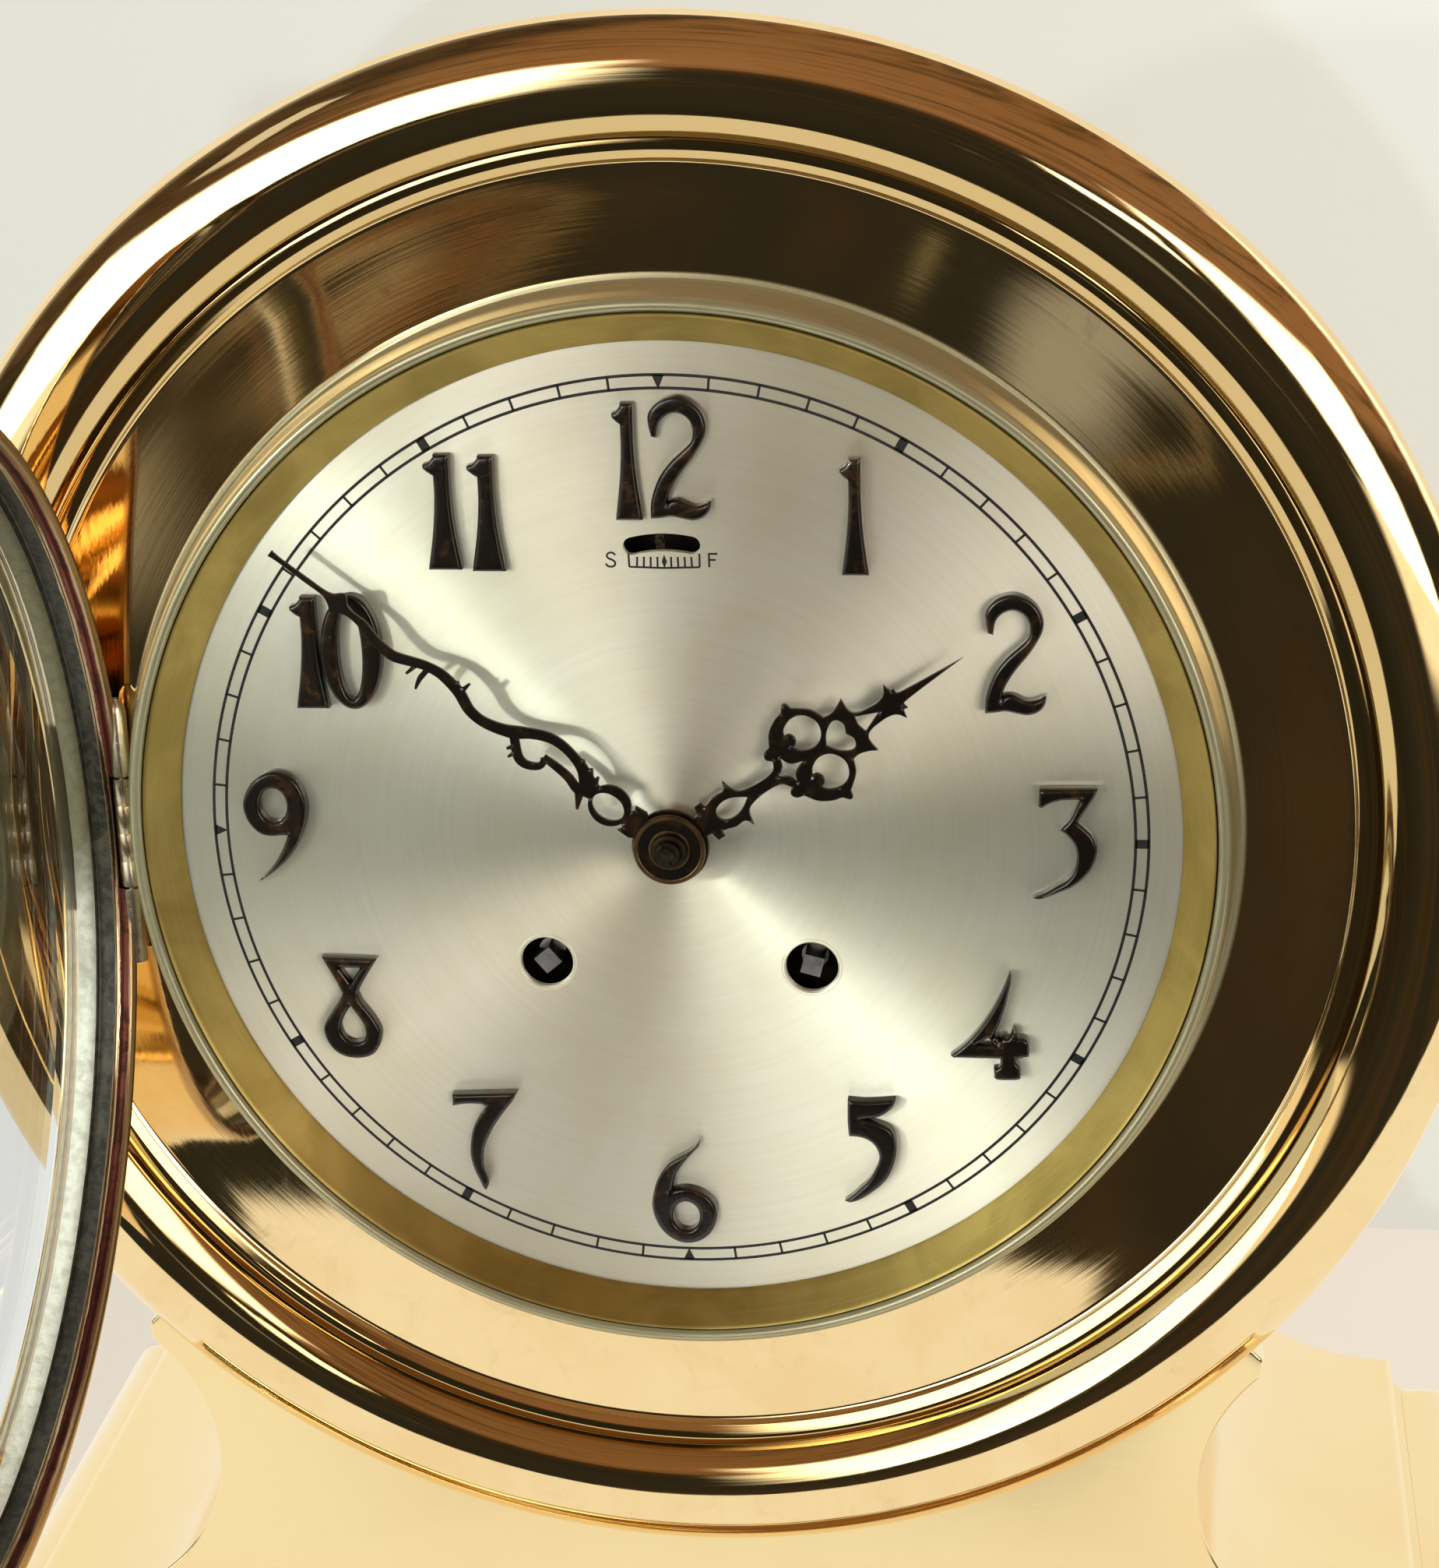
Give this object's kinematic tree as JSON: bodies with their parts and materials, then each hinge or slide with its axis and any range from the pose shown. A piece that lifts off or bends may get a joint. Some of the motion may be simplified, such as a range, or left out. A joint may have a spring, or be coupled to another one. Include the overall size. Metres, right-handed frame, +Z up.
{
  "type": "pedestal clock",
  "caption": "Brass pedestal clock with a round moulded case, silvered dial with applied numerals, pierced hands and a hinged bevelled-glass bezel that stands open.",
  "frame": {"origin": "centre of the felt underside, at table height", "axes": "+Z up, the dial faces -Y, +X to the right seen from the front"},
  "size_m": [0.38, 0.4176, 0.432],
  "materials": {
    "felt": "green felt pad",
    "pedestal_metal": "pale gold satin brass, lacquered",
    "case_brass": "polished brass with light patina and fine turning lines",
    "reflector": "matt gilt",
    "dial_silver": "circular brushed silvered metal",
    "numeral_dark": "dark bronze finish, polished bevels",
    "hand_dark": "dark bronze finish",
    "fitting_brass": "turned brass",
    "movement_brass": "brushed brass",
    "steel": "plain steel",
    "nickel": "worn nickel plate",
    "bell_metal": "polished bell metal",
    "bezel_brass": "polished brass, patinated inside",
    "glass": "clear bevelled glass",
    "plaster": "pale chalky plaster bedding"
  },
  "bodies": {
    "case": {"base_felt": "felt", "base_plinth": "pedestal_metal", "pedestal_body": "pedestal_metal", "plinth_screw_left": "steel", "plinth_screw_right": "steel", "case_bolt_front": "steel", "case_bolt_rear": "steel", "case_rim": "case_brass", "case_drum": "case_brass", "back_cover": "case_brass", "cover_screw_1": "steel", "cover_screw_2": "steel", "cover_screw_3": "steel", "dial_plate": "dial_silver", "reflector_ring": "reflector", "movement_front_plate": "movement_brass", "movement_back_plate": "movement_brass", "bell": "bell_metal", "bell_post": "steel", "hinge_knuckle": "nickel", "hinge_pin": "steel", "movement_pillar_1": "movement_brass", "movement_pillar_2": "movement_brass", "movement_pillar_3": "movement_brass", "movement_pillar_4": "movement_brass", "numeral_1": "numeral_dark", "numeral_2": "numeral_dark", "numeral_3": "numeral_dark", "numeral_4": "numeral_dark", "numeral_5": "numeral_dark", "numeral_6": "numeral_dark", "numeral_7": "numeral_dark", "numeral_8": "numeral_dark", "numeral_9": "numeral_dark", "numeral_10_one": "numeral_dark", "numeral_10_zero": "numeral_dark", "numeral_11_left": "numeral_dark", "numeral_11_right": "numeral_dark", "numeral_12_one": "numeral_dark", "numeral_12_two": "numeral_dark"},
    "bezel": {"bezel_ring": "bezel_brass", "bezel_glass": "glass", "glass_bedding": "plaster", "bezel_catch": "steel"},
    "minute_works": {"minute_hand": "hand_dark", "cannon_pinion": "steel", "hand_collet": "fitting_brass", "hand_nut": "fitting_brass", "centre_arbor": "steel"},
    "hour_works": {"hour_hand": "hand_dark", "hour_wheel": "movement_brass"},
    "minute_wheel_body": {"minute_wheel": "movement_brass"},
    "train_wheel_body": {"train_wheel": "movement_brass"},
    "time_barrel_body": {"time_barrel": "movement_brass"},
    "strike_barrel_body": {"strike_barrel": "movement_brass"},
    "time_arbor_body": {"time_arbor": "steel"},
    "strike_arbor_body": {"strike_arbor": "steel"},
    "regulator_body": {"regulator_lever": "fitting_brass"},
    "balance_body": {"balance_wheel": "movement_brass"},
    "hammer_body": {"hammer": "steel"}
  },
  "joints": [
    {"name": "bezel_hinge", "type": "hinge", "parent": "case", "child": "bezel", "pos_m": [-0.1206, -0.077, 0.258], "axis": [0, 0, 1], "range_deg": [-2, 91.15]},
    {"name": "minute_turn", "type": "hinge", "parent": "case", "child": "minute_works", "pos_m": [0, -0.0765, 0.258], "axis": [0, 1, 0], "continuous": true},
    {"name": "hour_turn", "type": "hinge", "parent": "case", "child": "hour_works", "pos_m": [0, -0.0765, 0.258], "axis": [0, 1, 0], "continuous": true},
    {"name": "minute_wheel_turn", "type": "hinge", "parent": "case", "child": "minute_wheel_body", "pos_m": [0.0144, -0.0765, 0.258], "axis": [0, 1, 0], "continuous": true},
    {"name": "train_turn", "type": "hinge", "parent": "case", "child": "train_wheel_body", "pos_m": [-0.01993, -0.0765, 0.25637], "axis": [0, 1, 0], "continuous": true},
    {"name": "time_barrel_turn", "type": "hinge", "parent": "case", "child": "time_barrel_body", "pos_m": [-0.029, -0.0765, 0.2284], "axis": [0, 1, 0], "continuous": true},
    {"name": "strike_barrel_turn", "type": "hinge", "parent": "case", "child": "strike_barrel_body", "pos_m": [0.029, -0.0765, 0.2284], "axis": [0, 1, 0], "continuous": true},
    {"name": "time_wind", "type": "hinge", "parent": "case", "child": "time_arbor_body", "pos_m": [-0.029, -0.0765, 0.2284], "axis": [0, 1, 0], "continuous": true},
    {"name": "strike_wind", "type": "hinge", "parent": "case", "child": "strike_arbor_body", "pos_m": [0.029, -0.0765, 0.2284], "axis": [0, 1, 0], "continuous": true},
    {"name": "regulator_set", "type": "hinge", "parent": "case", "child": "regulator_body", "pos_m": [0, -0.0765, 0.296], "axis": [0, 1, 0], "range_deg": [-8, 8]},
    {"name": "balance_swing", "type": "hinge", "parent": "case", "child": "balance_body", "pos_m": [0, -0.0765, 0.296], "axis": [0, 1, 0], "range_deg": [-270, 270], "stiffness_Nm_per_rad": 0.0004},
    {"name": "hammer_lift", "type": "hinge", "parent": "case", "child": "hammer_body", "pos_m": [0.056, -0.0765, 0.244], "axis": [0, 1, 0], "range_deg": [0, 18], "stiffness_Nm_per_rad": 0.02, "springref_deg": -17.19}
  ],
  "couplings": [
    {"joint": "hour_turn", "follows": "minute_turn", "ratio": 0.083333},
    {"joint": "minute_wheel_turn", "follows": "minute_turn", "ratio": -0.33333},
    {"joint": "train_turn", "follows": "minute_turn", "ratio": -0.25},
    {"joint": "time_barrel_turn", "follows": "minute_turn", "ratio": 0.041667}
  ]
}
